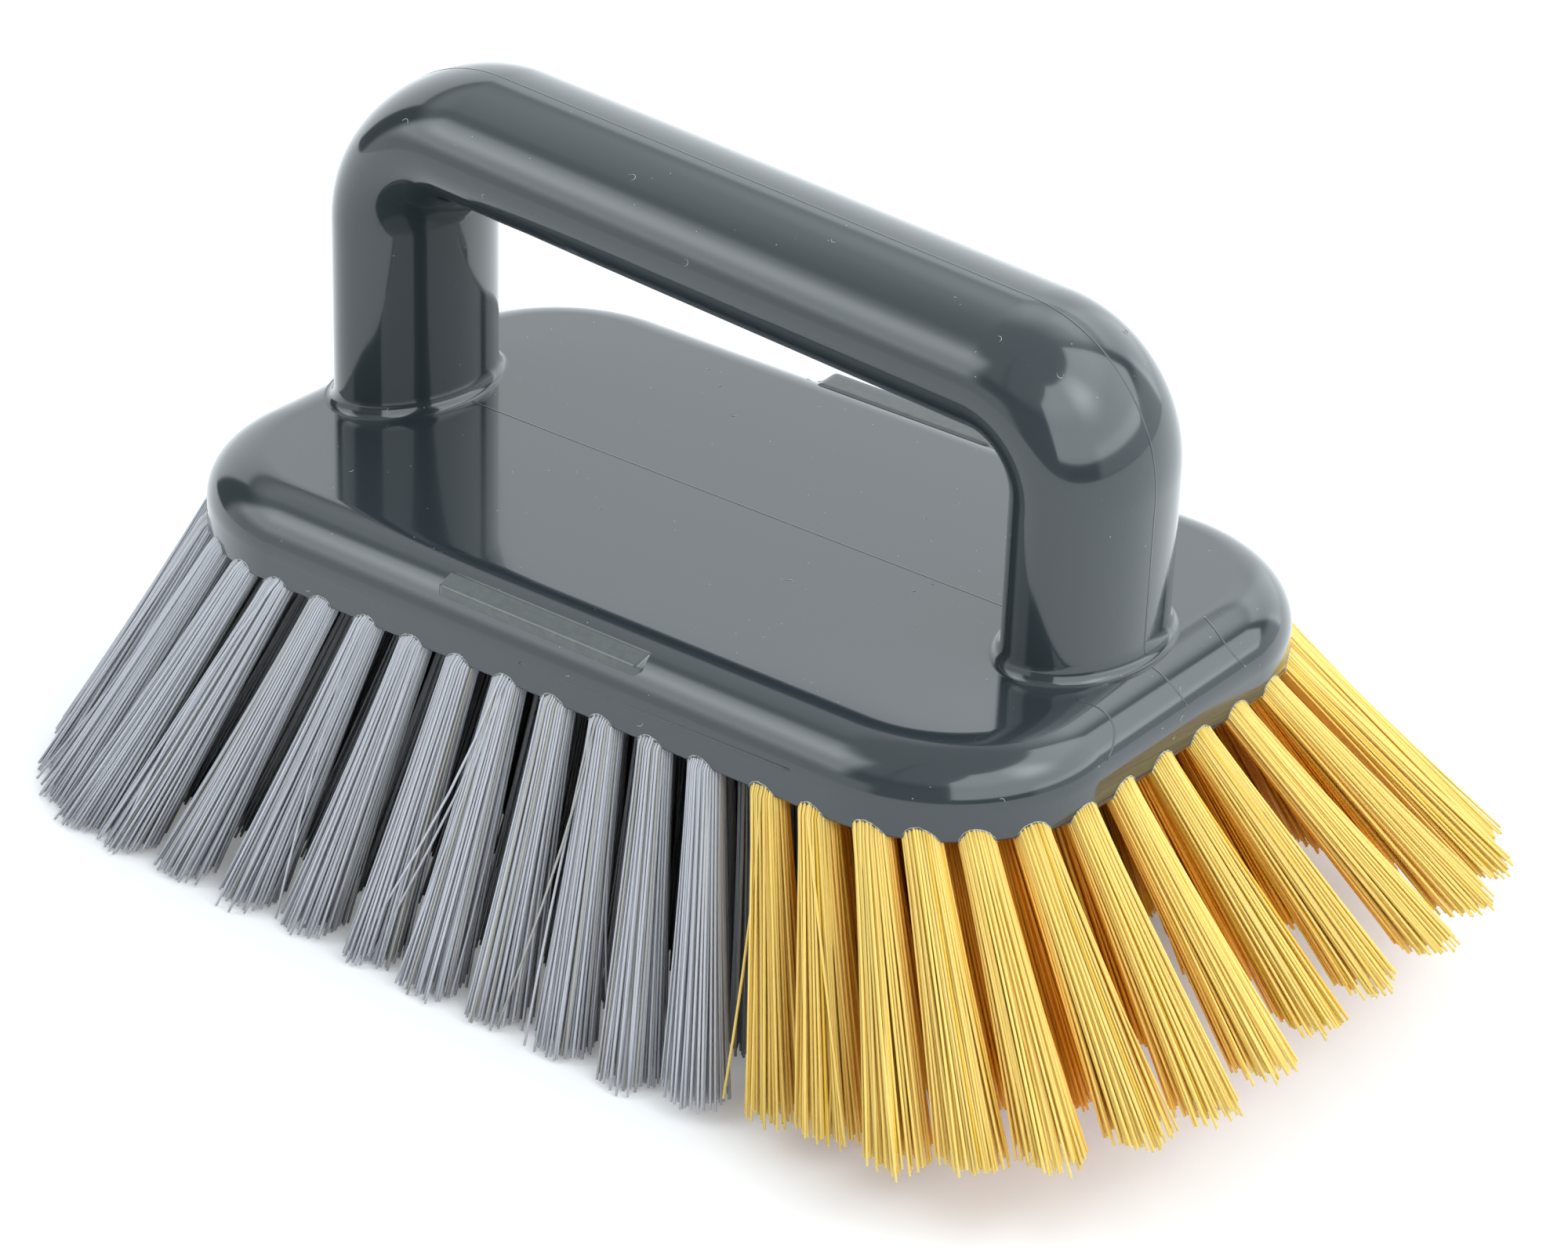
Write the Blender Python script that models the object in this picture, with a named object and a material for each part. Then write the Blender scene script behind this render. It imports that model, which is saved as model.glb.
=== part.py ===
"""Laundry stain brush: a moulded block with a D-shaped grip, and tufts of flared bristles under it.

Lengths are in metres. The pieces are modelled from the block's own middle, with its underside at z = 0 and
the bristles below it. One empty carries them all and lifts them until the bristle tips stand at z = 0.
"""

import math

import bmesh
import bpy
import numpy as np

# Moulded block, in plan a rectangle with round corners
BLOCK_LENGTH = 0.1276
BLOCK_WIDTH = 0.0760
BLOCK_CORNER_RADIUS = 0.0218
BLOCK_HEIGHT = 0.0086
FLANK_HEIGHT = 0.0025
SHOULDER_INSET = 0.0076

# Grip and legs, an oval bar bent into a D; the grip falls towards the yellow end
GRIP_HEIGHT = 0.0427
GRIP_HALF_HEIGHT = 0.00775
GRIP_HALF_WIDTH = 0.01255
LEG_HALF_DEPTH = 0.00794
GREY_LEG_SETBACK = 0.0123
YELLOW_LEG_SETBACK = 0.0140
GREY_BEND_RADIUS = 0.0125
YELLOW_BEND_RADIUS = 0.0117
FOOT_FILLET_HEIGHT = 0.0025
FOOT_FILLET_REACH = 0.0016
LEG_ROOT_DEPTH = 0.0030
FOOT_BED = 0.0001
GRIP_FALL_SHARE = 0.0643

# Raised bars on the two long shoulders: an upright face, a narrow edge and a level top
LUG_LENGTH = 0.0303
LUG_TOP_RISE = 0.0002
LUG_EDGE = 0.0004
LUG_CHAMFER = 0.0007
LUG_ROOT_DEPTH = 0.0006
LUG_CENTRE_X = -0.0006
LUG_LOW_SHARE = 0.376
LUG_HIGH_SHARE = 0.670
LUG_END_SHARE = 0.25

# Bed of the bristles: a shallow recess filled by strips of backing, one for each row of tufts
RIM_WALL = 0.0012
RECESS_DEPTH = 0.0030
SEAT_GAP = 0.0003
OVERRUN = 0.0020

# Rows of tufts; their places and spacings are shares of half the straight run of the long sides
GREY_ROWS = 10
YELLOW_ROWS = 3
GREY_LAST_SHARE = 0.581
YELLOW_FIRST_SHARE = 0.788
GREY_PITCH_SHARE = 0.1695
YELLOW_PITCH_SHARE = 0.163

# Tufts
TUFT_ROW_PITCH = 0.0107
END_TUFT_PITCH = 0.00685
END_CROWDING = 0.0022
TUFT_ROOT_WIDTH = 0.0031
TUFT_TIP_WIDTH = 0.0056
TUFT_EDGE_MARGIN = 0.00015
STRAND_WIDTH = 0.00138
STRAND_ROOT_DEPTH = 0.0003
BRISTLE_HEIGHT = 0.0375

# Fan of the bristles: run sideways for each unit of drop, and where along the block it changes
MIDDLE_LEAN_SHARE = 0.012
LENGTH_LEAN_SHARE = 0.662
SIDE_LEAN_SHARE = 0.367
GREY_LEAN_LIMIT_SHARE = 0.75
FLARE_START_SHARE = 0.577
FLARE_LENGTH_SHARE = 0.373
FLARE_SIDE_SHARE = 0.356
FLARE_LENGTH_POWER = 1.65
FLARE_SIDE_POWER = 0.7

# The yellow end is trimmed shorter, up to this much at the end of the block
YELLOW_TRIM = 0.0132
YELLOW_TRIM_START_X = 0.0200

# Places of the strands in a tuft, as shares of its half width
RIM_TUFT_SHARES = ((-1.0, -1.0), (1.0, -1.0), (1.0, 1.0), (-1.0, 1.0))
INNER_TUFT_SHARES = ((-1.0, -0.75), (1.0, -0.75), (0.0, 1.0))

# Facets
CORNER_STEPS = 10
SHOULDER_STEPS = 7
OVAL_STEPS = 30
BEND_STEPS = 11
FILLET_STEPS = 4
GRIP_STEPS = 4
LUG_POINTS = 4
SMOOTH_ANGLE = math.radians(35)

HALF_LENGTH = BLOCK_LENGTH / 2
HALF_WIDTH = BLOCK_WIDTH / 2
GREY_LEG_X = GREY_LEG_SETBACK - HALF_LENGTH
YELLOW_LEG_X = HALF_LENGTH - YELLOW_LEG_SETBACK
BACKING_INSET = RIM_WALL + SEAT_GAP
BACKING_TOP = RECESS_DEPTH - SEAT_GAP
STRAIGHT_HALF = HALF_LENGTH - BLOCK_CORNER_RADIUS
RING_INSET = BACKING_INSET + TUFT_EDGE_MARGIN + TUFT_ROOT_WIDTH / 2


def clear_scene():
    for thing in list(bpy.data.objects):
        bpy.data.objects.remove(thing, do_unlink=True)


def make_collection(name):
    collection = bpy.data.collections.new(name)
    bpy.context.scene.collection.children.link(collection)
    return collection


def make_frame(collection, location):
    """The empty that carries every piece, lifted so that the bristle tips stand at z = 0."""
    frame = bpy.data.objects.new("brush_frame", None)
    frame.location = location
    collection.objects.link(frame)
    return frame


def plastic(name, colour, roughness):
    material = bpy.data.materials.new(name)
    material.use_nodes = True
    shader = material.node_tree.nodes["Principled BSDF"]
    shader.inputs["Base Color"].default_value = (*colour, 1.0)
    shader.inputs["Roughness"].default_value = roughness
    shader.inputs["Metallic"].default_value = 0.0
    return material


def solid(name, shape, collection, frame, material=None):
    """An object made from a finished bmesh; with no material it is a tool that the model leaves out."""
    bmesh.ops.recalc_face_normals(shape, faces=shape.faces)
    mesh = bpy.data.meshes.new(name)
    shape.to_mesh(mesh)
    shape.free()
    mesh.shade_smooth()
    mesh.set_sharp_from_angle(angle=SMOOTH_ANGLE)
    piece = bpy.data.objects.new(name, mesh)
    piece.parent = frame
    collection.objects.link(piece)
    if material:
        mesh.materials.append(material)
    else:
        piece.hide_render = True
        piece.display_type = "WIRE"
    return piece


def combine(piece, tool, operation):
    modifier = piece.modifiers.new(tool.name, "BOOLEAN")
    modifier.operation = operation
    modifier.object = tool
    modifier.solver = "EXACT"


def add_loft(shape, rings):
    """Carries a skin over rings of equal point count and closes both ends."""
    rows = [[shape.verts.new(point) for point in ring] for ring in rings]
    shape.faces.new(rows[0][::-1])
    shape.faces.new(rows[-1])
    for low, high in zip(rows, rows[1:]):
        for k in range(len(low)):
            shape.faces.new((low[k - 1], low[k], high[k], high[k - 1]))


def outline(inset, height):
    """The block's plan drawn in by inset: four corner arcs joined by straight sides, at one height."""
    radius = max(BLOCK_CORNER_RADIUS - inset, SEAT_GAP)
    middle_x = HALF_LENGTH - inset - radius
    middle_y = HALF_WIDTH - inset - radius
    turn = np.linspace(0, math.pi / 2, CORNER_STEPS + 1)
    points = []
    for quarter, (side_x, side_y) in enumerate(((1, 1), (-1, 1), (-1, -1), (1, -1))):
        angle = turn + quarter * math.pi / 2
        x = side_x * middle_x + radius * np.cos(angle)
        y = side_y * middle_y + radius * np.sin(angle)
        points.append(np.column_stack([x, y, np.full_like(x, height)]))
    return np.concatenate(points)


def shoulder(turn):
    """Inset and height of the shoulder, a quarter of an ellipse, at an angle of its turn."""
    inset = SHOULDER_INSET * (1 - np.cos(turn))
    height = FLANK_HEIGHT + (BLOCK_HEIGHT - FLANK_HEIGHT) * np.sin(turn)
    return inset, height


def block_shape():
    """Upright flank from the underside, then the shoulder rounding over to the flat deck."""
    shape = bmesh.new()
    rings = [outline(0, 0)]
    for turn in np.linspace(0, math.pi / 2, SHOULDER_STEPS + 1):
        rings.append(outline(*shoulder(turn)))
    add_loft(shape, rings)
    return shape


def bend_points(centre_x, radius, start, end):
    """Centre line round one bend of the D, and its outward directions, from the leg to the grip or back."""
    slant = math.hypot(1, GRIP_FALL_SHARE)
    centre_z = GRIP_HEIGHT - GRIP_FALL_SHARE * centre_x - radius * slant
    angle = np.linspace(start, end, BEND_STEPS + 1)
    outward = np.column_stack([np.cos(angle), np.zeros_like(angle), np.sin(angle)])
    return np.array([centre_x, 0, centre_z]) + radius * outward, outward


def foot_profile():
    """Heights above the underside and flares of a leg's root: a concave quarter of an ellipse on the deck."""
    turn = np.linspace(0, math.pi / 2, FILLET_STEPS + 1)
    heights = BLOCK_HEIGHT - FOOT_BED + FOOT_FILLET_HEIGHT * (1 - np.cos(turn))
    flares = FOOT_FILLET_REACH * (1 - np.sin(turn))
    low = BLOCK_HEIGHT - LEG_ROOT_DEPTH
    return np.concatenate([[low], heights]), np.concatenate([[FOOT_FILLET_REACH], flares])


def oval_ring(centre, outward, flare):
    """Oval section square to the centre line; its thickness blends from the leg's to the grip's."""
    level = outward[2] ** 2
    half_depth = GRIP_HALF_HEIGHT * level + LEG_HALF_DEPTH * (1 - level) + flare
    turn = np.linspace(0, 2 * math.pi, OVAL_STEPS, endpoint=False)
    across = np.array([0, 1, 0]) * (GRIP_HALF_WIDTH + flare)
    return centre + np.outer(np.cos(turn) * half_depth, outward) + np.outer(np.sin(turn), across)


def grip_shape():
    """The D-shaped bar: up the grey leg, round the bend, along the sloping grip and down the yellow leg."""
    fall = math.atan(GRIP_FALL_SHARE)
    grey_bend, grey_out = bend_points(
        GREY_LEG_X + GREY_BEND_RADIUS, GREY_BEND_RADIUS, math.pi, math.pi / 2 - fall
    )
    yellow_bend, yellow_out = bend_points(
        YELLOW_LEG_X - YELLOW_BEND_RADIUS, YELLOW_BEND_RADIUS, math.pi / 2 - fall, 0
    )
    heights, flares = foot_profile()
    rings = []
    for height, flare in zip(heights, flares):
        rings.append(oval_ring(np.array([GREY_LEG_X, 0, height]), grey_out[0], flare))
    for centre, outward in zip(grey_bend, grey_out):
        rings.append(oval_ring(centre, outward, 0))
    for share in np.linspace(0, 1, GRIP_STEPS + 1)[1:-1]:
        centre = grey_bend[-1] * (1 - share) + yellow_bend[0] * share
        rings.append(oval_ring(centre, grey_out[-1], 0))
    for centre, outward in zip(yellow_bend, yellow_out):
        rings.append(oval_ring(centre, outward, 0))
    for height, flare in zip(heights[::-1], flares[::-1]):
        rings.append(oval_ring(np.array([YELLOW_LEG_X, 0, height]), yellow_out[-1], flare))
    shape = bmesh.new()
    add_loft(shape, rings)
    return shape


def lug_ring(x, side, share):
    """Section of a shoulder bar, raised by a share of its full form: up from the shoulder's lower line,
    over the edge and level back to the upper line, then under the shoulder along its own curve."""
    turn = np.linspace(LUG_LOW_SHARE, LUG_HIGH_SHARE, LUG_POINTS) * math.pi / 2
    under_inset, under_height = shoulder(turn)
    low = under_inset[0]
    top = under_height[-1] + LUG_TOP_RISE
    full_inset = np.array([low, low, low + LUG_EDGE, under_inset[-1]])
    full_height = np.array([under_height[0], top - LUG_EDGE, top, top])
    inset = under_inset + (full_inset - under_inset) * share
    height = under_height + (full_height - under_height) * share
    slope = np.arctan2(np.sin(turn) / (BLOCK_HEIGHT - FLANK_HEIGHT), np.cos(turn) / SHOULDER_INSET)
    sunk_inset = under_inset + LUG_ROOT_DEPTH * np.cos(slope)
    sunk_height = under_height - LUG_ROOT_DEPTH * np.sin(slope)
    y = side * (HALF_WIDTH - np.concatenate([inset, sunk_inset[::-1]]))
    return np.column_stack([np.full_like(y, x), y, np.concatenate([height, sunk_height[::-1]])])


def lug_shape(side):
    """Raised bar along one long shoulder, chamfered at both ends."""
    low = LUG_CENTRE_X - LUG_LENGTH / 2
    high = LUG_CENTRE_X + LUG_LENGTH / 2
    stations = [(low, LUG_END_SHARE), (low + LUG_CHAMFER, 1), (high - LUG_CHAMFER, 1), (high, LUG_END_SHARE)]
    shape = bmesh.new()
    add_loft(shape, [lug_ring(x, side, share) for x, share in stations])
    return shape


def plate_shape(inset, low, high):
    shape = bmesh.new()
    add_loft(shape, [outline(inset, low), outline(inset, high)])
    return shape


def make_moulding(parts, tools, frame):
    """Block, grip and shoulder bars are one moulding, with the shallow recess of the bristle bed under it."""
    grey = plastic("moulded_grey_pp", (0.115, 0.128, 0.135), 0.22)
    moulding = solid("handle_block", block_shape(), parts, frame, grey)
    combine(moulding, solid("grip_bar", grip_shape(), tools, frame), "UNION")
    combine(moulding, solid("front_lug", lug_shape(-1), tools, frame), "UNION")
    combine(moulding, solid("back_lug", lug_shape(1), tools, frame), "UNION")
    recess = plate_shape(RIM_WALL, -OVERRUN, RECESS_DEPTH)
    combine(moulding, solid("bed_recess", recess, tools, frame), "DIFFERENCE")


def lean(x, y):
    """Sideways run of a bristle for each unit of drop: a fan that opens evenly from the middle to the rim,
    stays alike round the grey end and opens further towards the yellow end."""
    along = max(x / HALF_LENGTH, -GREY_LEAN_LIMIT_SHARE)
    start = FLARE_START_SHARE * HALF_LENGTH
    flare = max(0, x - start) / (HALF_LENGTH - RING_INSET - start)
    lean_x = MIDDLE_LEAN_SHARE + LENGTH_LEAN_SHARE * along + FLARE_LENGTH_SHARE * flare**FLARE_LENGTH_POWER
    lean_y = SIDE_LEAN_SHARE + FLARE_SIDE_SHARE * flare**FLARE_SIDE_POWER
    return np.array([lean_x, lean_y * y / HALF_WIDTH])


def tip_rise(x):
    """How far above the lowest tips the bristles of a place along the block are trimmed."""
    return YELLOW_TRIM * max(0, x - YELLOW_TRIM_START_X) / (HALF_LENGTH - YELLOW_TRIM_START_X)


def rim_y(x):
    """Half width of the outer ring of tufts at a place along the block."""
    radius = BLOCK_CORNER_RADIUS - RING_INSET
    past = max(0, abs(x) - STRAIGHT_HALF)
    return HALF_WIDTH - BLOCK_CORNER_RADIUS + math.sqrt(max(0, radius**2 - past**2))


def end_ring(start_x, side):
    """Places of the outer ring from a row at start_x round the end to the middle: even steps, drawn back a
    little towards the round of the corner."""
    radius = BLOCK_CORNER_RADIUS - RING_INSET
    middle_y = HALF_WIDTH - BLOCK_CORNER_RADIUS
    reach = abs(start_x) - STRAIGHT_HALF
    begun = radius * math.asin(min(1, reach / radius)) if reach > 0 else reach
    corner = radius * math.pi / 2
    run = corner - begun + middle_y
    count = max(2, round(run / END_TUFT_PITCH - 1 / 2))
    places = []
    for step in range(1, count + 1):
        share = step / (count + 1 / 2)
        travelled = begun + run * share - END_CROWDING * math.sin(math.pi * share)
        turn = min(max(travelled, 0), corner) / radius
        x = STRAIGHT_HALF + radius * math.sin(turn) + min(travelled, 0)
        y = middle_y + radius * math.cos(turn) - max(0, travelled - corner)
        places.append((side * x, y))
    return places


def spread_row(x, rim, extra):
    """Places of the tufts of one row across the block: its two rim tufts and even ones between them."""
    gaps = max(2, round(2 * rim / TUFT_ROW_PITCH)) + extra
    return [(x, y, abs(y) == rim) for y in np.linspace(-rim, rim, gaps + 1)]


def end_rows(last_x, side):
    """The row in the round of an end, and the end's cap: the rest of the ring, and those inner tufts that
    stand further than the ring's own pitch from it."""
    (first_x, first_y), (second_x, second_y), *others = end_ring(last_x, side)
    ring = []
    for x, y in [(second_x, second_y)] + others:
        ring += [(x, -y, True), (x, y, True)]
    inner = []
    for tuft in spread_row(second_x, second_y, 0)[1:-1]:
        if min(math.dist(tuft[:2], other[:2]) for other in ring) > END_TUFT_PITCH:
            inner.append(tuft)
    return [spread_row(first_x, first_y, 0), ring + inner]


def row_plan():
    """Every row of tufts from the grey end to the yellow end: colour, name, low x, high x and tufts."""
    grey = [GREY_LAST_SHARE - GREY_PITCH_SHARE * k for k in range(GREY_ROWS - 1, -1, -1)]
    yellow = [YELLOW_FIRST_SHARE + YELLOW_PITCH_SHARE * k for k in range(YELLOW_ROWS)]
    centres = [STRAIGHT_HALF * share for share in grey + yellow]
    straight = [spread_row(x, rim_y(x), k % 2) for k, x in enumerate(centres)]
    grey_end = end_rows(centres[0], -1)[::-1]
    yellow_end = end_rows(centres[-1], 1)
    rows = grey_end + straight + yellow_end
    middles = [places[0][0] for places in rows]
    cuts = [(low + high) / 2 for low, high in zip(middles, middles[1:])]
    grey_count = len(grey_end) + GREY_ROWS
    plan = []
    for k, places in enumerate(rows):
        colour = "grey" if k < grey_count else "yellow"
        number = k + 1 if k < grey_count else k + 1 - grey_count
        low = cuts[k - 1] if k else -HALF_LENGTH
        high = cuts[k] if k < len(cuts) else HALF_LENGTH
        plan.append((colour, f"{colour}_tuft_row_{number:02d}", low, high, places))
    return plan


def tuft_axes(x, y):
    """Across and along directions of a tuft, turned with the rim where it goes round a corner."""
    past_x = abs(x) - STRAIGHT_HALF
    past_y = abs(y) - (HALF_WIDTH - BLOCK_CORNER_RADIUS)
    if past_x <= 0 or past_y <= 0:
        return np.array([1, 0]), np.array([0, 1])
    across = np.array([math.copysign(past_x, x), math.copysign(past_y, y)]) / math.hypot(past_x, past_y)
    return across, np.array([-across[1], across[0]])


def strand_rings(x, y, share):
    """The two four-sided ends of a strand: its root in the backing, level, and its trimmed tip."""
    root_half = (TUFT_ROOT_WIDTH - STRAND_WIDTH) / 2
    tip_half = (TUFT_TIP_WIDTH - STRAND_WIDTH) / 2
    drop = BRISTLE_HEIGHT - tip_rise(x)
    across, along = tuft_axes(x, y)
    place = across * share[0] + along * share[1]
    start = np.array([x, y]) + place * root_half
    end = np.array([x, y]) + place * tip_half + lean(x, y) * drop
    run = (end - start) / drop
    above = start - run * STRAND_ROOT_DEPTH
    root = np.array([*above, STRAND_ROOT_DEPTH])
    tip = np.array([*end, -drop])
    side_x = np.array([*across, 0]) * STRAND_WIDTH / 2
    side_y = np.array([*along, 0]) * STRAND_WIDTH / 2
    corners = [-side_x - side_y, side_x - side_y, side_x + side_y, side_y - side_x]
    rings = [[tip + corner for corner in corners], [root + corner for corner in corners]]
    if tip_rise(x) > 0:
        # A raised tip is cut square to its strand, not level
        axis = (tip - root) / np.linalg.norm(tip - root)
        rings[0] = [tip + corner - axis * np.dot(corner, axis) for corner in corners]
    return rings


def strand_shape(places):
    """All strands of one row, standing side by side and spreading from their tufts."""
    shape = bmesh.new()
    for x, y, on_rim in places:
        for share in RIM_TUFT_SHARES if on_rim else INNER_TUFT_SHARES:
            add_loft(shape, strand_rings(x, y, share))
    return shape


def strip_shape(low, high):
    """Box of one backing strip, wider than the bed, which trims it to the bed's outline."""
    reach_y = HALF_WIDTH + OVERRUN
    low_x = low + SEAT_GAP / 2
    high_x = high - SEAT_GAP / 2
    rings = []
    for z in (-OVERRUN, BACKING_TOP + OVERRUN):
        corners = ((low_x, -reach_y, z), (high_x, -reach_y, z), (high_x, reach_y, z), (low_x, reach_y, z))
        rings.append(np.array(corners))
    shape = bmesh.new()
    add_loft(shape, rings)
    return shape


def make_bristles(plan, parts, tools, frame):
    """One strip of backing for each row, with the row's strands fused to it."""
    materials = {
        "grey": plastic("grey_filament", (0.44, 0.46, 0.50), 0.40),
        "yellow": plastic("yellow_filament", (0.87, 0.60, 0.08), 0.40),
    }
    for colour, name, low, high, places in plan:
        bed = plate_shape(BACKING_INSET, 0, BACKING_TOP)
        row = solid(name, bed, parts, frame, materials[colour])
        combine(row, solid(f"{name}_strip", strip_shape(low, high), tools, frame), "INTERSECT")
        combine(row, solid(f"{name}_strands", strand_shape(places), tools, frame), "UNION")


def reach(plan):
    """Lowest and highest x of all bristle tips."""
    tips = []
    for _, _, _, _, places in plan:
        for x, y, _ in places:
            for share in RIM_TUFT_SHARES:
                tips += [point[0] for point in strand_rings(x, y, share)[0]]
    return min(tips), max(tips)


def main():
    clear_scene()
    parts = make_collection("laundry_stain_brush")
    tools = make_collection("brush_cutters")
    tools.hide_render = True
    plan = row_plan()
    low, high = reach(plan)
    frame = make_frame(parts, (-(low + high) / 2, 0, BRISTLE_HEIGHT))
    make_moulding(parts, tools, frame)
    make_bristles(plan, parts, tools, frame)


main()
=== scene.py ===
"""Looks of the laundry stain brush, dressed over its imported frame.

Lengths are in metres. Shapes are worked out from the block's own middle with its underside at z = 0, and
ORIGIN carries them to the frame's place as each mesh is made.
"""

import math

import bpy
import numpy as np
from mathutils import Matrix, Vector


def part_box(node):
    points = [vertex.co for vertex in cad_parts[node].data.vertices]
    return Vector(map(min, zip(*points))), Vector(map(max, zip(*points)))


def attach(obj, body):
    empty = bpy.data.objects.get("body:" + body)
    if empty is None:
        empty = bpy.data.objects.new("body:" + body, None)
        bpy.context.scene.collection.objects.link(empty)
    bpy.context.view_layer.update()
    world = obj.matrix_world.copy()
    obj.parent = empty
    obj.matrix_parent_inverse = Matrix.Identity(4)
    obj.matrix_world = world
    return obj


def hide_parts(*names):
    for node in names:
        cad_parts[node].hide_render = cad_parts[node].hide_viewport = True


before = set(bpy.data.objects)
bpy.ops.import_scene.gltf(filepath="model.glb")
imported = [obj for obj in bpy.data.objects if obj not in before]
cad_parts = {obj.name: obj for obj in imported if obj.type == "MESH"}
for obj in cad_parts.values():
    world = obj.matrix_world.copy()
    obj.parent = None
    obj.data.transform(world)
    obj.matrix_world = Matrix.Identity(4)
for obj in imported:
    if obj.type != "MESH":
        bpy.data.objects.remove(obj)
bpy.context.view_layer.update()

MM = 0.001
QUARTER = math.pi / 2
FULL_TURN = 2 * math.pi

# Block, its outer sizes read from the frame
BLOCK_LOW, BLOCK_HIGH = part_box("handle_block")
HALF_LENGTH = (BLOCK_HIGH.x - BLOCK_LOW.x) / 2
HALF_WIDTH = (BLOCK_HIGH.y - BLOCK_LOW.y) / 2
ORIGIN = np.array([(BLOCK_LOW.x + BLOCK_HIGH.x) / 2, (BLOCK_LOW.y + BLOCK_HIGH.y) / 2, BLOCK_LOW.z])
CORNER_RADIUS = 21.8 * MM
DECK_HEIGHT = 8.6 * MM
FLANK_HEIGHT = 2.5 * MM
SHOULDER_INSET = 7.6 * MM
LOWER_EDGE_RADIUS = 0.4 * MM

# The flank's skirt hangs this far below the tufts' bed
SKIRT_DEPTH = 1.15 * MM

# Rings of the flat underside and deck, as shares of the corner radius
FLAT_RINGS = (0.95, 0.8, 0.6, 0.4, 0.2)

# Grip and legs. A foot starts a little inside the block, and a leg's last station stands just below its bend
GRIP_HEIGHT = 42.7 * MM
GRIP_HALF_HEIGHT = 7.75 * MM
GRIP_HALF_WIDTH = 12.55 * MM
LEG_HALF_DEPTH = 7.94 * MM
GREY_LEG_X = 12.3 * MM - HALF_LENGTH
YELLOW_LEG_X = HALF_LENGTH - 14.0 * MM
GREY_BEND_RADIUS = 12.5 * MM
YELLOW_BEND_RADIUS = 11.7 * MM
FOOT_FILLET_HEIGHT = 2.2 * MM
FOOT_FILLET_REACH = 1.3 * MM
FOOT_DEPTH = 0.8 * MM
LEG_STATIONS = 6
LEG_SHARE = 0.98
GRIP_FALL = 0.0643

# Raised bars on the long shoulders: an upright face, a round crest and a top that slopes on to a small step.
# The back one stands higher, with sloping ends
LUG_LENGTH = 30.3 * MM
LUG_CENTRE_X = -0.6 * MM
LUG_LOW_TURN = 0.371 * QUARTER
FRONT_LUG = {"high_turn": 0.675 * QUARTER, "face": 1.45 * MM, "ramp": 0.5 * MM, "drop": 0.35 * MM}
BACK_LUG = {"high_turn": 0.79 * QUARTER, "face": 2.85 * MM, "ramp": 2.5 * MM, "drop": 1.6 * MM}
LUG_STEP = 0.14 * MM
LUG_EDGE_RADIUS = 0.45 * MM
LUG_END_RADIUS = 1.0 * MM
LUG_SINK = 0.5 * MM

# Rows of tufts
TUFT_PITCH = 7.12 * MM
YELLOW_PITCH = 6.85 * MM
GREY_ROWS = 10
YELLOW_ROWS = 3
GREY_LAST_X = 24.4 * MM
YELLOW_FIRST_X = 33.1 * MM
COLOUR_CHANGE_X = (GREY_LAST_X + YELLOW_FIRST_X) / 2
TUFT_ROW_PITCH = 10.7 * MM
END_CROWDING = 2.2 * MM
GREY_INSET = 1.55 * MM
YELLOW_INSET = 1.6 * MM

# Tufts; the lowest tips stand just above the frame's floor, and the yellow end is trimmed higher
GREY_ROOT_RADIUS = 2.05 * MM
YELLOW_ROOT_RADIUS = 2.10 * MM
TUFT_TIP_RADIUS = 3.95 * MM
BRISTLE_HEIGHT = ORIGIN[2]
YELLOW_TRIM = 13.2 * MM
YELLOW_TRIM_START_X = 19.8 * MM

# Fan of the tufts, as sideways run for each unit of drop. The root lean is that of an outer tuft while it
# breaks out of the skirt
LEAN_AT_MIDDLE = 0.012
LEAN_ALONG = 0.662
LEAN_ACROSS = 0.354
GREY_LEAN_LIMIT_X = 46.5 * MM
END_LEAN_ALONG = 0.373
END_LEAN_ACROSS = 0.356
END_LEAN_START_X = 36.8 * MM
END_ALONG_POWER = 1.65
END_ACROSS_POWER = 0.7
ROOT_LEAN = 0.87
LEAST_LEAN_OUT = 0.2

# Filaments. Their range of thickness is in shares of the radius, and their slack in shares of the pitch
FILAMENT_PITCH = 0.33 * MM
FILAMENT_RADIUS = 0.165 * MM
FILAMENT_SIDES = 5
FILAMENT_STATIONS = 7
ROOT_SINK = 2.2 * MM
THICKNESS_RANGE = (0.94, 1.04)
PACKING_SLACK = 0.04

# How a tuft's filaments part on the way down, and how unevenly they are cut
SPREAD_POWER = 1.35
WIDENING_RANGE = (0.93, 1.05)
TUFT_WANDER = 0.22 * MM
TIP_SCATTER = 0.27 * MM
TIP_CLEARANCE = 0.15 * MM
CUT_SPREAD = 0.42 * MM
CUT_TAIL = 0.2 * MM
BOW = 0.09 * MM
STRAYS_IN_TUFT = 2
STRAY_REACH = 1.7 * MM
STRAY_BOW = 0.5 * MM

# Painted shade in the colour of an outer tuft's filaments, from 0 for pale to 1 for deep: at its middle, and
# its fall from there to the outer face
MIDDLE_PAINTED_SHADE = 0.4
PAINTED_SHADE_FALL = 0.8

# Filaments thrown across their neighbours, in millimetres: place of the tuft along the front, and the tip's
# shifts along and across the block
THROWN_FILAMENTS = (
    (-3.7, -10.8, -0.5),
    (-3.7, -9.6, 0.6),
    (-3.7, -3.2, -1.6),
    (10.2, -7.5, -0.8),
    (-25.4, 6.0, 0.4),
    (33.1, -6.6, -0.6),
    (39.9, 3.8, -0.9),
    (46.8, -4.2, 0.8),
)

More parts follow.
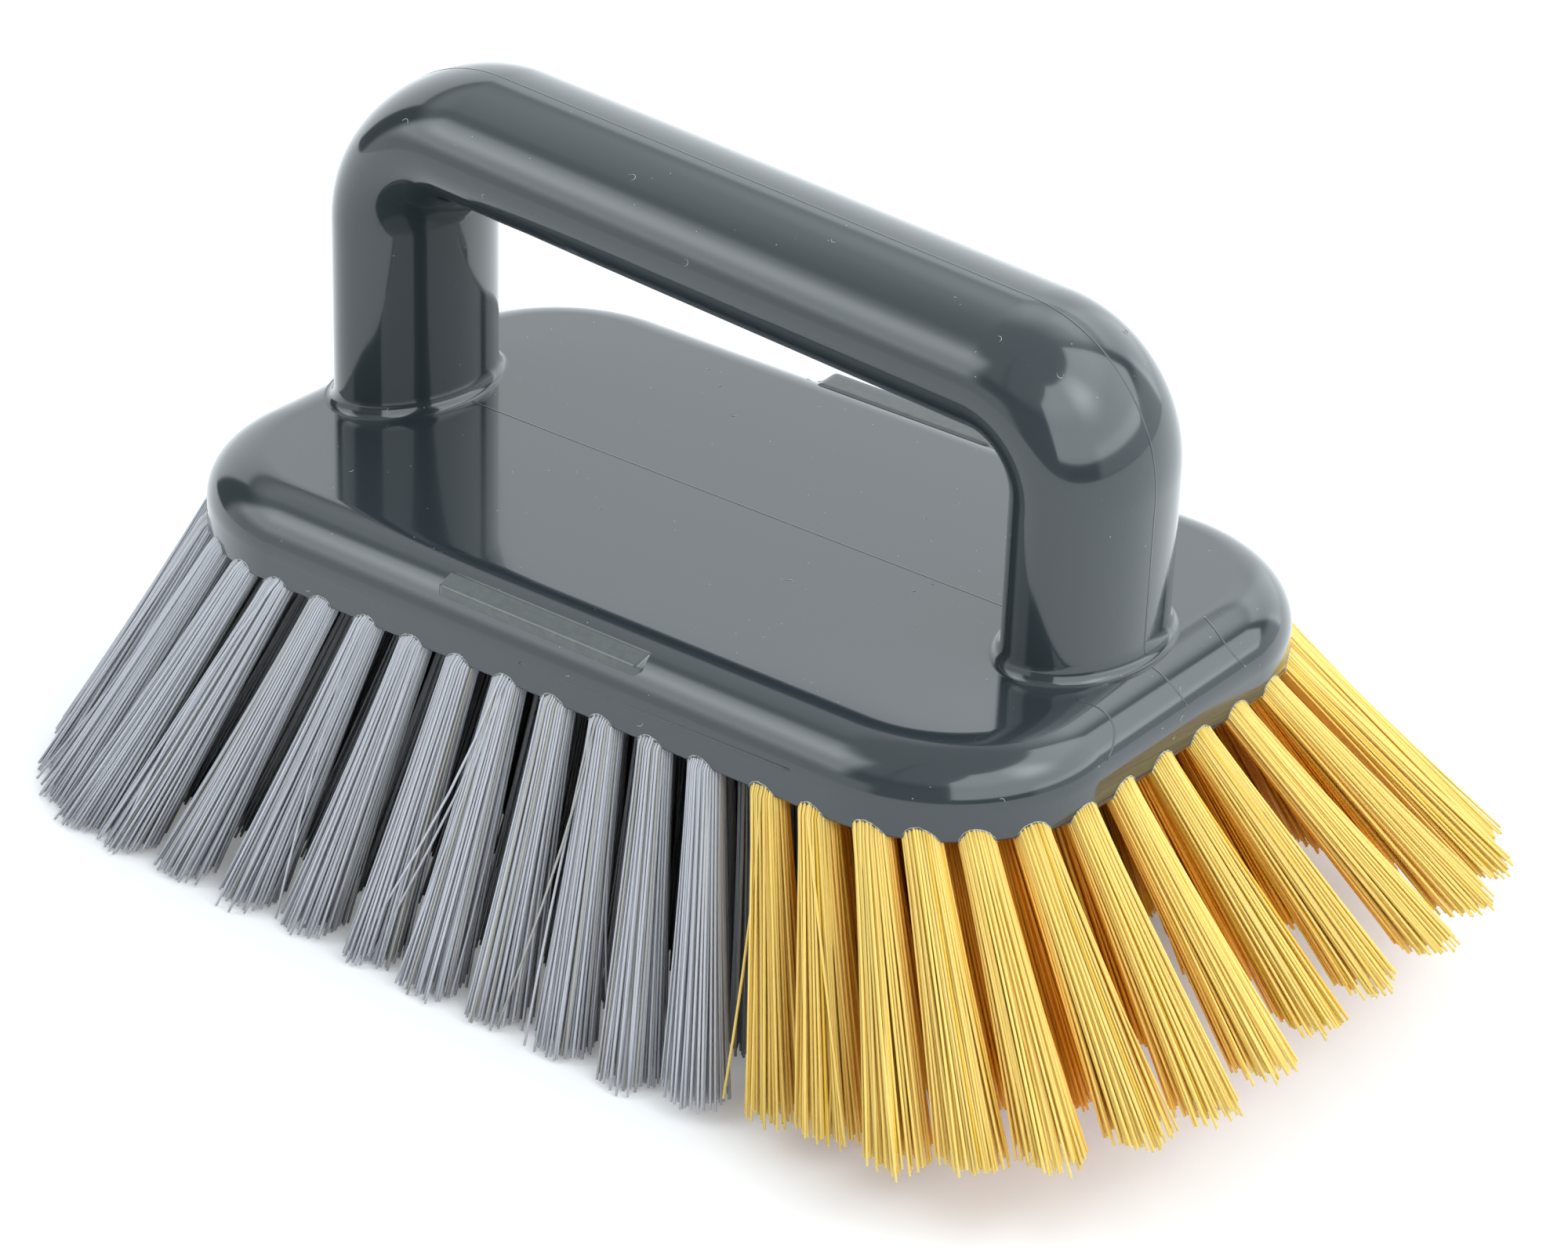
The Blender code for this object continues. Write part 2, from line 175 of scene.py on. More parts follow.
# Beads left by the mould's parting. The three over the yellow end's shoulder run between shares of its turn,
# and each has a place beside the middle line, the height of its wave and its run to the side at the lower
# end, in millimetres, with the wave's turn in radians as the third value
BEAD_HALF_WIDTH = 0.15 * MM
BEAD_HEIGHT = 0.035 * MM
FLANK_BEAD_START_X = -2 * MM
FLANK_BEAD_END_X = 37 * MM
FLANK_BEAD_HEIGHT = 2.4 * MM
FLANK_BEAD_RISE = 0.02
SHOULDER_BEAD_SHARES = (0.92, 0.2)
SHOULDER_BEADS = {
    "middle": (0.0, 0.0, 0.0, 0.9),
    "front": (-12.4, 1.6, 2.6, -3.4),
    "back": (13.3, -1.9, 2.2, 1.2),
}

# Torn plastic round the tufts; its range of thickness is in shares of the radius
BURR_RADIUS = 0.075 * MM
BURR_THICKNESS_RANGE = (0.35, 1.25)
BURR_CRUMBLE = 0.04 * MM
BURR_PROUD = 0.02 * MM

# Pale dust, and dark specks of painted pit shade: a speck in a share of the cells of a scattered grid
DUST_AND_PIT_SHADE_RADIUS = 0.075 * MM
PALE_DUST_CELL = 1.7 * MM
PALE_DUST_SHARE = 0.45
PIT_SHADE_CELL = 2.4 * MM
PIT_SHADE_SHARE = 0.5
PIT_SHADE_SHIFT = (1, 1, 1)

# Curled fibres lying on the plastic, none of them near the deck's middle or on faces that look down. Their
# turns are in radians
HAIR_RADIUS = 0.032 * MM
HAIR_CURL_RADIUS = (0.2 * MM, 0.65 * MM)
HAIR_CURL_SHRINK = 0.6
HAIR_START_TURN = 6.3
HAIR_ARC = (1.2, 4.5)
HAIRS_ON_BLOCK = 34
HAIRS_ON_GRIP = 16
CLEAR_MIDDLE = 9 * MM
LOWEST_FACING = -0.2

# Finishes: sizes of the patterns, roughness, and the spread of the filaments' tones
HAZE_SIZE = 9 * MM
GLOSS_ROUGHNESS = (0.10, 0.17)
POLYPROPYLENE_IOR = 1.5
MOTTLE_SIZE = 1.2 * MM
FILAMENT_ROUGHNESS = 0.35
ODD_TONE = 0.94
TONE_LEVELS = (1.05, 0.85)

# Sockets of the Mix node by number: two colours in and one out, and two values in
FIRST_COLOUR, SECOND_COLOUR, MIXED_COLOUR = 6, 7, 2
FIRST_VALUE, SECOND_VALUE = 2, 3

# Camera, fitted to the photograph; its picture is 2000 pixels wide
PICTURE_WIDTH = 2000
CAMERA_FOCUS = 5916
CAMERA_AZIMUTH = math.radians(36.95)
CAMERA_ELEVATION = math.radians(28.63)
CAMERA_ROLL = math.radians(2.03)
CAMERA_DISTANCE = 554.6 * MM
CAMERA_TARGET = ORIGIN + np.array([7.1, 0, -5.4]) * MM
SENSOR_WIDTH = 36
CLIP_START = 10 * MM

# Floor, in metres
FLOOR_HALF_SIZE = 3.0
FLOOR_LIFT = 0.18

# Studio panels: azimuth, elevation, half width, half height and edge in degrees, and radiance. The right
# softbox also has a slanted half width, which cuts off two opposite corners
DAYLIGHT = "#f4fbff"
ROOM_RADIANCE = 0.12
BEVEL_SLOPE = 0.7
STUDIO_PANELS = {
    "right softbox": (80, 36, 58, 26, 3, 2.2, 52),
    "right softbox middle": (76, 47, 12, 10, 20, 2.0),
    "right wall": (50, 8, 40, 10, 8, 0.7),
    "front left softbox": (-131, 39, 25, 19, 14, 2.0),
    "front left softbox middle": (-129, 45, 10, 6, 18, 1.1),
    "front left wall": (-140, 6, 36, 13, 10, 0.75),
    "back screen": (-33, 11, 47, 23, 4, 1.05),
    "back screen right": (0, 26, 14, 24, 8, 0.4),
    "back screen top": (-12, 46, 26, 13, 22, 1.2),
    "left wall": (-62, 48, 24, 12, 12, 0.35),
    "front wall": (180, 10, 50, 25, 25, 0.16),
    "ceiling": (0, 90, 180, 50, 14, 0.52),
}

rng = np.random.default_rng(17)


def unit(vectors):
    """The vectors along the last axis, each brought to a length of one."""
    return vectors / np.linalg.norm(vectors, axis=-1, keepdims=True)


def make_mesh(name, points, quads, triangles, normals=None):
    """A smooth mesh object from whole arrays: points, four-cornered faces, three-cornered faces."""
    mesh = bpy.data.meshes.new(name)
    corners = np.concatenate([quads.ravel(), triangles.ravel()]).astype(np.int32)
    starts = np.concatenate([np.arange(len(quads)) * 4, len(quads) * 4 + np.arange(len(triangles)) * 3])
    mesh.vertices.add(len(points))
    mesh.loops.add(len(corners))
    mesh.polygons.add(len(starts))
    mesh.vertices.foreach_set("co", (points + ORIGIN).astype(np.float32).ravel())
    mesh.loops.foreach_set("vertex_index", corners)
    mesh.polygons.foreach_set("loop_start", starts.astype(np.int32))
    mesh.update(calc_edges=True)
    mesh.shade_smooth()
    if normals is not None:
        mesh.normals_split_custom_set_from_vertices(normals.reshape(-1, 3).tolist())
    piece = bpy.data.objects.new(name, mesh)
    bpy.context.scene.collection.objects.link(piece)
    return piece


def skin(name, rings, normals=None):
    """A closed skin over rings of points, shape (rings, around, 3): four-cornered faces between
    neighbouring rings, and a fan to the middle of the first and of the last ring."""
    count, around = rings.shape[:2]
    index = np.arange(count * around).reshape(count, around)
    low, high = index[:-1], index[1:]
    quads = np.stack([low, np.roll(low, -1, 1), np.roll(high, -1, 1), high], -1).reshape(-1, 4)
    first = np.stack([np.roll(index[0], -1), index[0], np.full(around, count * around)], -1)
    last = np.stack([index[-1], np.roll(index[-1], -1), np.full(around, count * around + 1)], -1)
    poles = rings[[0, -1]].mean(axis=1)
    points = np.concatenate([rings.reshape(-1, 3), poles])
    if normals is not None:
        ends = normals[[0, -1]].mean(axis=1)
        normals = np.concatenate([normals.reshape(-1, 3), ends])
    return make_mesh(name, points, quads, np.concatenate([first, last]), normals)


def plan_skeleton(corner_steps=28, side_steps=40):
    """Anchors and outward directions round the block's plan. A ring drawn in by an inset is anchor +
    (corner radius - inset) * direction: quarter turns about the corner centres, joined by straight runs."""
    signs = np.array([(1, 1), (-1, 1), (-1, -1), (1, -1)])
    centres = signs * np.array([HALF_LENGTH - CORNER_RADIUS, HALF_WIDTH - CORNER_RADIUS])
    share = np.linspace(0, 1, side_steps + 1)[1:-1, None]
    anchors = []
    directions = []
    for k, centre in enumerate(centres):
        angle = np.linspace(k * QUARTER, (k + 1) * QUARTER, corner_steps + 1)
        turned = np.column_stack([np.cos(angle), np.sin(angle)])
        anchors += [np.tile(centre, (len(angle), 1)), centre + (centres[(k + 1) % 4] - centre) * share]
        directions += [turned, np.tile(turned[-1], (len(share), 1))]
    return np.concatenate(anchors), np.concatenate(directions)


def shoulder(turn):
    """Inset, height and slope of the shoulder, a quarter of an ellipse, at an angle of its turn."""
    rise = DECK_HEIGHT - FLANK_HEIGHT
    inset = SHOULDER_INSET * (1 - np.cos(turn))
    height = FLANK_HEIGHT + rise * np.sin(turn)
    return inset, height, np.arctan2(np.sin(turn) / rise, np.cos(turn) / SHOULDER_INSET)


def block_profile(edge_steps=6, flank_steps=8, shoulder_steps=33, deck_steps=6):
    """Insets, heights and slopes from the underside round the lower edge, flank and shoulder to the deck: a
    quarter circle, a straight, a quarter ellipse and a flat. The skirt hangs below the tufts' bed, z = 0."""
    edge = np.linspace(-QUARTER, 0, edge_steps)
    turn = np.linspace(0, QUARTER, shoulder_steps)
    inner = np.array(FLAT_RINGS) * CORNER_RADIUS
    deck = np.linspace(SHOULDER_INSET, inner[0], deck_steps)[1:]
    bottom = -SKIRT_DEPTH
    flank = np.linspace(bottom + LOWER_EDGE_RADIUS, FLANK_HEIGHT, flank_steps)[1:-1]
    curve = shoulder(turn)
    inset = [inner, LOWER_EDGE_RADIUS * (1 - np.cos(edge)), 0 * flank, curve[0], deck]
    turned = bottom + LOWER_EDGE_RADIUS * (1 + np.sin(edge))
    height = [0 * inner + bottom, turned, flank, curve[1], 0 * deck + DECK_HEIGHT]
    slope = [0 * inner - QUARTER, edge, 0 * flank, curve[2], 0 * deck + QUARTER]
    return np.concatenate(inset), np.concatenate(height), np.concatenate(slope)


def make_block():
    """Block: the profile carried round the plan, each ring drawn in by the profile's inset."""
    anchors, directions = plan_skeleton()
    inset, height, slope = (row[:, None, None] for row in block_profile())
    plan = anchors + (CORNER_RADIUS - inset) * directions
    rings = np.concatenate([plan, np.broadcast_to(height, plan.shape[:2] + (1,))], axis=2)
    flat = np.cos(slope) * directions
    upward = np.broadcast_to(np.sin(slope), flat.shape[:2] + (1,))
    return skin("moulded_block", rings, np.concatenate([flat, upward], axis=2))


def bend(centre_x, radius, start, end, steps=40):
    """Centre line and outward directions round one bend of the D: centre + radius * direction over an arc.
    The arc's top touches the grip's sloping line."""
    centre_z = GRIP_HEIGHT - GRIP_FALL * centre_x - radius * math.hypot(1, GRIP_FALL)
    angle = np.linspace(start, end, steps + 1)
    outward = np.column_stack([np.cos(angle), 0 * angle, np.sin(angle)])
    return np.array([centre_x, 0, centre_z]) + radius * outward, outward


def grip_line(fillet_steps=13, straight_steps=32):
    """Stations of the D: centre, outward direction and fillet turn, from the grey foot over the grip to the
    yellow foot. A foot's flare shrinks as 1 - sin and rises as 1 - cos of the fillet's turn."""
    fall = math.atan(GRIP_FALL)
    grey, grey_out = bend(GREY_LEG_X + GREY_BEND_RADIUS, GREY_BEND_RADIUS, math.pi, QUARTER - fall)
    yellow, yellow_out = bend(YELLOW_LEG_X - YELLOW_BEND_RADIUS, YELLOW_BEND_RADIUS, QUARTER - fall, 0)
    turn = np.concatenate([[0], np.linspace(0, QUARTER, fillet_steps), np.full(LEG_STATIONS, QUARTER)])
    rise = FOOT_FILLET_HEIGHT * (1 - np.cos(turn))
    rise[0] = -FOOT_DEPTH
    share = np.linspace(0, LEG_SHARE, LEG_STATIONS + 1)[1:]
    feet = []
    for x, top in ((GREY_LEG_X, grey[0, 2]), (YELLOW_LEG_X, yellow[-1, 2])):
        z = DECK_HEIGHT + rise
        fillet_top = z[-LEG_STATIONS - 1]
        z[-LEG_STATIONS:] = fillet_top + (top - fillet_top) * share
        feet.append(np.column_stack([np.full_like(z, x), 0 * z, z]))
    along = np.linspace(0, 1, straight_steps)[1:-1, None]
    straight = grey[-1] * (1 - along) + yellow[0] * along
    centre = np.concatenate([feet[0], grey, straight, yellow, feet[1][::-1]])
    outward = [np.tile(grey_out[0], (len(turn), 1)), grey_out, np.tile(grey_out[-1], (len(straight), 1))]
    outward += [yellow_out, np.tile(yellow_out[-1], (len(turn), 1))]
    middle = np.full(len(grey) + len(straight) + len(yellow), QUARTER)
    return centre, np.concatenate(outward), np.concatenate([turn, middle, turn[::-1]])


def grip_depths(outward, turn):
    """Half depths of the grip's oval along the outward directions, and the flare of its feet."""
    level = outward[:, 2] ** 2
    flare = FOOT_FILLET_REACH * (1 - np.sin(turn))
    return GRIP_HALF_HEIGHT * level + LEG_HALF_DEPTH * (1 - level) + flare, flare


def make_grip(around=96):
    """Grip: at each station an oval, half depth along the outward direction and half width across, carried
    along the D. On a foot its normal turns from level to upright with the fillet."""
    centre, outward, turn = grip_line()
    depth, flare = (row[:, None] for row in grip_depths(outward, turn))
    width = GRIP_HALF_WIDTH + flare
    angle = np.linspace(0, FULL_TURN, around, endpoint=False)
    across = np.array([0, -1, 0])
    outward = outward[:, None]
    rings = centre[:, None] + outward * (np.cos(angle) * depth)[..., None]
    rings = rings + across * (np.sin(angle) * width)[..., None]
    facing = outward * (np.cos(angle) / depth)[..., None] + across * (np.sin(angle) / width)[..., None]
    tilt = np.arctan2(FOOT_FILLET_HEIGHT * np.sin(turn), FOOT_FILLET_REACH * np.cos(turn))[:, None, None]
    return skin("moulded_grip", rings, unit(facing) * np.sin(tilt) + np.array([0, 0, 1]) * np.cos(tilt))


def shoulder_at(inset):
    """Height of the shoulder at an inset from the block's side."""
    turn = np.arccos(np.clip(1 - inset / SHOULDER_INSET, 0, 1))
    return shoulder(turn)[1]


def make_lug(name, side, high_turn, face, ramp, drop, steps=7, end_steps=15, middle_steps=61):
    """Shoulder bar: at each place along it an upright face rises from the shoulder to a round crest, and the
    top slopes on to the upper edge. Towards an end the face draws in round a quarter circle, and the crest
    comes down by the drop over the ramp as a smooth step. Its underside is sunk in the shoulder."""
    edge = LUG_END_RADIUS * (1 - np.cos(np.linspace(0, QUARTER, end_steps)))
    middle = np.linspace(edge[-1], LUG_LENGTH - edge[-1], middle_steps)[1:-1]
    along = np.concatenate([edge, middle, LUG_LENGTH - edge[::-1]])
    ends = np.minimum(along, LUG_LENGTH - along)[:, None]
    drawn = LUG_END_RADIUS - np.sqrt(LUG_END_RADIUS**2 - np.clip(LUG_END_RADIUS - ends, 0, None) ** 2)
    way = np.clip(ends / ramp, 0, 1)
    sunk = drop * (1 - way * way * (3 - 2 * way))
    low_inset, low_height, _ = shoulder(LUG_LOW_TURN)
    high_inset, high_height, _ = shoulder(high_turn)
    inner = low_inset + drawn
    turn = np.linspace(0, QUARTER, steps)
    share = np.linspace(0, 1, steps)
    crest = low_height + face - LUG_EDGE_RADIUS - sunk
    foot = np.minimum(shoulder_at(inner), crest)
    face_inset = inner + 0 * share[:-1]
    face_height = foot + (crest - foot) * share[:-1]
    crest_inset = inner + LUG_EDGE_RADIUS * (1 - np.cos(turn))
    crest_height = crest + LUG_EDGE_RADIUS * np.sin(turn)
    near_inset, near_height = crest_inset[:, -1:], crest_height[:, -1:]
    rise = high_height + LUG_STEP - low_height - face
    far_height = np.minimum(high_height + LUG_STEP, near_height + rise)
    top_inset = near_inset + (high_inset - near_inset) * share[1:]
    top_height = near_height + (far_height - near_height) * share[1:]
    inset = np.concatenate([face_inset, crest_inset, top_inset], axis=1)
    height = np.concatenate([face_height, crest_height, top_height], axis=1)
    x = np.broadcast_to((LUG_CENTRE_X - LUG_LENGTH / 2 + along)[:, None], inset.shape)
    shown = np.stack([x, side * (HALF_WIDTH - inset), height], -1)
    under = np.minimum(shoulder_at(inset), height) - LUG_SINK
    sunken = np.stack([x, side * (HALF_WIDTH - inset - LUG_SINK / 2), under], -1)
    rings = np.concatenate([shown, sunken[:, ::-1]], axis=1)
    return skin(name, rings[:, ::-1] if side < 0 else rings)


def tuft_inset(x):
    """How far the outer ring of tufts stands in from the block's side, at a place along the block."""
    return YELLOW_INSET if x > COLOUR_CHANGE_X else GREY_INSET


def root_radius(x):
    """Radius of a tuft where it leaves the block, at a place along the block."""
    return YELLOW_ROOT_RADIUS if x > COLOUR_CHANGE_X else GREY_ROOT_RADIUS


def lean(x, y):
    """Sideways run of a tuft for each unit of drop: a fan that opens evenly along and across the block, no
    further past a limit at the grey end, and further towards the yellow end by a power of the way there."""
    end = max(0, x - END_LEAN_START_X) / (HALF_LENGTH - YELLOW_INSET - END_LEAN_START_X)
    along = LEAN_AT_MIDDLE + LEAN_ALONG * max(x, -GREY_LEAN_LIMIT_X) / HALF_LENGTH
    across = LEAN_ACROSS + END_LEAN_ACROSS * end**END_ACROSS_POWER
    return np.array([along + END_LEAN_ALONG * end**END_ALONG_POWER, across * y / HALF_WIDTH])


def trim(x):
    """How far above the lowest tips the filaments of a place along the block are cut."""
    return YELLOW_TRIM * max(0, x - YELLOW_TRIM_START_X) / (HALF_LENGTH - YELLOW_TRIM_START_X)


def way_out(x, y):
    """Direction from an outer tuft to the block's side, and the tuft's own lean that way."""
    away = (to_side(np.array([x]), np.array([y]), 0)[0] - (x, y)) / tuft_inset(x)
    return away, max(LEAST_LEAN_OUT, float(lean(x, y) @ away))


def rim_y(x):
    """Half width of the outer ring of tufts at a place along the block: straight, then round the corner."""
    past = max(0, abs(x) - (HALF_LENGTH - CORNER_RADIUS))
    radius = CORNER_RADIUS - tuft_inset(x)
    return HALF_WIDTH - CORNER_RADIUS + math.sqrt(max(0, radius**2 - past**2))


def end_ring(start_x, side):
    """Places of the outer ring from a row at start_x round the end to the middle: even steps, drawn back
    towards the round of the corner. The last one stands half a step short of the middle line."""
    radius = CORNER_RADIUS - tuft_inset(start_x)
    middle_x = HALF_LENGTH - CORNER_RADIUS
    middle_y = HALF_WIDTH - CORNER_RADIUS
    reach = abs(start_x) - middle_x
    begun = radius * math.asin(min(1, reach / radius)) if reach > 0 else reach
    corner = radius * QUARTER
    run = corner - begun + middle_y
    count = max(2, round(run / YELLOW_PITCH - 0.5))
    places = []
    for step in range(1, count + 1):
        share = step / (count + 0.5)
        travelled = begun + run * share - END_CROWDING * math.sin(math.pi * share)
        turn = min(max(travelled, 0), corner) / radius
        x = middle_x + radius * math.sin(turn) + min(travelled, 0)
        y = middle_y + radius * math.cos(turn) - max(0, travelled - corner)
        places.append((side * x, y))
    return places


def spread_row(x, rim, extra):
    """Places of the tufts of one row across the block: its two rim tufts and even ones between them."""
    gaps = max(2, round(2 * rim / TUFT_ROW_PITCH)) + extra
    return [(x, y, abs(y) == rim) for y in np.linspace(-rim, rim, gaps + 1)]


def end_rows(last_x, side):
    """The row in the round of an end, and the end's cap: the rest of the ring, and those inner tufts that
    stand further than a pitch from it."""
    (first_x, first_y), (second_x, second_y), *others = end_ring(last_x, side)
    ring = []
    for x, y in [(second_x, second_y)] + others:
        ring += [(x, -y, True), (x, y, True)]
    inner = []
    for tuft in spread_row(second_x, second_y, 0)[1:-1]:
        if min(math.dist(tuft[:2], other[:2]) for other in ring) > YELLOW_PITCH:
            inner.append(tuft)
    return spread_row(first_x, first_y, 0), ring + inner


def row_plan():
    """Every row of tufts from the grey end to the yellow end: its colour, its node's name and its places."""
    grey = [GREY_LAST_X - TUFT_PITCH * k for k in range(GREY_ROWS - 1, -1, -1)]
    yellow = [YELLOW_FIRST_X + YELLOW_PITCH * k for k in range(YELLOW_ROWS)]
    grey_row, grey_cap = end_rows(grey[0], -1)
    yellow_row, yellow_cap = end_rows(yellow[-1], 1)
    tufts = [spread_row(x, rim_y(x), k % 2) for k, x in enumerate(grey + yellow)]
    rows = {
        "grey": [grey_cap, grey_row] + tufts[:GREY_ROWS],
        "yellow": tufts[GREY_ROWS:] + [yellow_row, yellow_cap],
    }
    plan = []
    for colour, places in rows.items():
        plan += [(colour, f"{colour}_tuft_row_{k + 1:02d}", row) for k, row in enumerate(places)]
    return plan


def packed_disc(radius):
    """Places of filaments packed side by side in a disc: rows of equal pitch, each half a pitch along from
    the last, turned and shifted at random and loosened a little."""
    reach = math.ceil(radius / FILAMENT_PITCH) + 2
    row, column = np.mgrid[-reach : reach + 1, -reach : reach + 1]
    places = np.stack([column + 0.5 * (row % 2), row * math.sqrt(0.75)], -1).reshape(-1, 2)
    turn = rng.uniform(0, FULL_TURN)
    turned = np.array([[math.cos(turn), -math.sin(turn)], [math.sin(turn), math.cos(turn)]])
    places = (places + rng.uniform(-0.5, 0.5, 2)) @ turned * FILAMENT_PITCH
    places = places[np.hypot(places[:, 0], places[:, 1]) < radius]
    return places + rng.normal(0, PACKING_SLACK, places.shape) * FILAMENT_PITCH


def tuft_lines(x, y, on_rim, thrown):
    """Lines of one tuft's filaments, shape (filaments, stations, 3). Each starts in the block at its place
    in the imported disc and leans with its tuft, while the disc widens as a power of the way down. An outer
    tuft leans out at the root lean as far as the skirt's edge. A few strays bow and wander further, and
    thrown ones end at a given shift from the tuft's own tip."""
    radius = root_radius(x)
    disc = packed_disc(radius)
    count = len(disc)
    cut = np.abs(rng.normal(0, CUT_SPREAD, count)) + rng.exponential(CUT_TAIL, count)
    drop = (BRISTLE_HEIGHT - trim(x) - TIP_CLEARANCE - cut)[:, None]
    widened = disc * (TUFT_TIP_RADIUS / radius) * rng.uniform(*WIDENING_RANGE, (count, 1))
    shift = widened - disc + rng.normal(0, TIP_SCATTER, (count, 2)) + rng.normal(0, TUFT_WANDER, 2)
    bow = rng.normal(0, BOW, (count, 2))
    strays = rng.choice(count, STRAYS_IN_TUFT, replace=False)
    shift[strays] += rng.uniform(-STRAY_REACH, STRAY_REACH, (STRAYS_IN_TUFT, 2))
    bow[strays] += rng.normal(0, STRAY_BOW, (STRAYS_IN_TUFT, 2))
    if thrown:
        outer = np.argsort(disc[:, 1])[: len(thrown)]
        shift[outer] = np.array(thrown) * MM
    s = np.linspace(0, 1, FILAMENT_STATIONS - 1)
    depth = np.concatenate([-ROOT_SINK + 0 * drop, drop * s], axis=1)
    depth[:, 1] = SKIRT_DEPTH
    depth = depth[..., None]
    way = np.clip(depth / drop[..., None], 0, 1)
    spread = shift[:, None] * way**SPREAD_POWER + bow[:, None] * 4 * way * (1 - way)
    flat = np.array([x, y]) + disc[:, None] + lean(x, y) * depth + spread
    if on_rim:
        away, run = way_out(x, y)
        flat -= away * (max(0, ROOT_LEAN - run) * np.clip(SKIRT_DEPTH - depth, 0, None))
    return np.concatenate([flat, -depth], axis=2)


def tube_rings(line, radius, sides):
    """Rings round lines of shape (lines, stations, 3), each square to its line's whole run: centre + radius
    * (first * cos(angle) + second * sin(angle))."""
    aside = np.array([0.6, 0.8, 0])
    run = unit(line[:, -1] - line[:, 0])
    first = unit(np.cross(run, aside))
    second = np.cross(run, first)
    angle = np.linspace(0, FULL_TURN, sides, endpoint=False)
    turn = first[:, None] * np.cos(angle)[:, None] + second[:, None] * np.sin(angle)[:, None]
    return line[:, :, None] + turn[:, None] * radius


def make_tubes(name, rings):
    """Tubes of shape (tubes, stations, sides, 3) in one mesh, each closed at both ends by a fan."""
    count, stations, sides = rings.shape[:3]
    index = np.arange(count * stations * sides).reshape(count, stations, sides)
    low, high = index[:, :-1], index[:, 1:]
    quads = np.stack([low, np.roll(low, -1, 2), np.roll(high, -1, 2), high], -1).reshape(-1, 4)
    fans = []
    for k in range(1, sides - 1):
        fans.append(index[:, 0][:, [0, k + 1, k]])
        fans.append(index[:, -1][:, [0, k, k + 1]])
    return make_mesh(name, rings.reshape(-1, 3), quads, np.concatenate(fans))


def tuft_painted_shade(lines, x, y, on_rim):
    """Painted shade of each filament of a tuft, by how deep in the brush it stands: from 0 on the outer face
    of an outer tuft to 1 on its inner face and all through the inner tufts."""
    if not on_rim:
        return np.ones(len(lines))
    away, _ = way_out(x, y)
    offset = (lines[:, 1, :2] - lines[:, 1, :2].mean(axis=0)) @ away
    return np.clip(MIDDLE_PAINTED_SHADE - PAINTED_SHADE_FALL * offset / GREY_ROOT_RADIUS, 0, 1)


def make_row(name, places):
    """One row of tufts: every filament a slim closed tube, with a tone of its own and a depth of painted
    shade.
    """
    lines = []
    painted_shades = []
    for x, y, on_rim in places:
        front = on_rim and y < 0
        thrown = [item[1:] for item in THROWN_FILAMENTS if front and abs(item[0] * MM - x) < TUFT_PITCH / 2]
        lines.append(tuft_lines(x, y, on_rim, thrown))
        painted_shades.append(tuft_painted_shade(lines[-1], x, y, on_rim))
    lines = np.concatenate(lines)
    thickness = FILAMENT_RADIUS * rng.uniform(*THICKNESS_RANGE, (len(lines), 1, 1, 1))
    piece = make_tubes(name, tube_rings(lines, thickness, FILAMENT_SIDES))
    # the depth attribute carries painted shade: filaments deep in the brush are coloured darker
    values = {"tone": rng.uniform(0, 1, len(lines)), "depth": np.concatenate(painted_shades)}
    for label, value in values.items():
        attribute = piece.data.attributes.new(label, "FLOAT", "POINT")
        each = np.repeat(value, FILAMENT_STATIONS * FILAMENT_SIDES)
        attribute.data.foreach_set("value", each.astype(np.float32))
    return piece


def to_side(x, y, proud):
    """Moves places out to the block's side, standing proud of it."""
    centre_x = np.clip(x, CORNER_RADIUS - HALF_LENGTH, HALF_LENGTH - CORNER_RADIUS)
    centre_y = np.clip(y, CORNER_RADIUS - HALF_WIDTH, HALF_WIDTH - CORNER_RADIUS)
    away = unit(np.stack([x - centre_x, y - centre_y], -1))
    return np.stack([centre_x, centre_y], -1) + away * (CORNER_RADIUS + proud)


def make_burrs(stations=19, sides=5):
    """Torn plastic where each outer tuft breaks out of the block's side: a crumbly thread along the arch
    that the leaning tuft cuts in the skirt. The arch stands above the skirt's edge by (radius * cos(turn) -
    inset) / lean."""
    lines = []
    for _, _, places in row_plan():
        for x, y, on_rim in places:
            if not on_rim:
                continue
            inset = tuft_inset(x)
            radius = root_radius(x) + FILAMENT_RADIUS
            away, run = way_out(x, y)
            edge_inset = inset - run * SKIRT_DEPTH
            turn = np.linspace(-1, 1, stations) * math.acos(edge_inset / radius)
            z = (radius * np.cos(turn) - edge_inset) / max(ROOT_LEAN, run) - SKIRT_DEPTH
            plan = np.array([x, y]) + away * inset + np.outer(np.sin(turn) * radius, (-away[1], away[0]))
            plan -= np.outer(z, lean(x, y) - away * run)
            plan = to_side(plan[:, 0], plan[:, 1], BURR_PROUD)
            lines.append(np.column_stack([plan, z + rng.normal(0, BURR_CRUMBLE, stations)]))
    lines = np.array(lines)
    radius = BURR_RADIUS * rng.uniform(*BURR_THICKNESS_RANGE, (len(lines), stations, 1, 1))
    return make_tubes("root_burrs", tube_rings(lines, radius, sides))


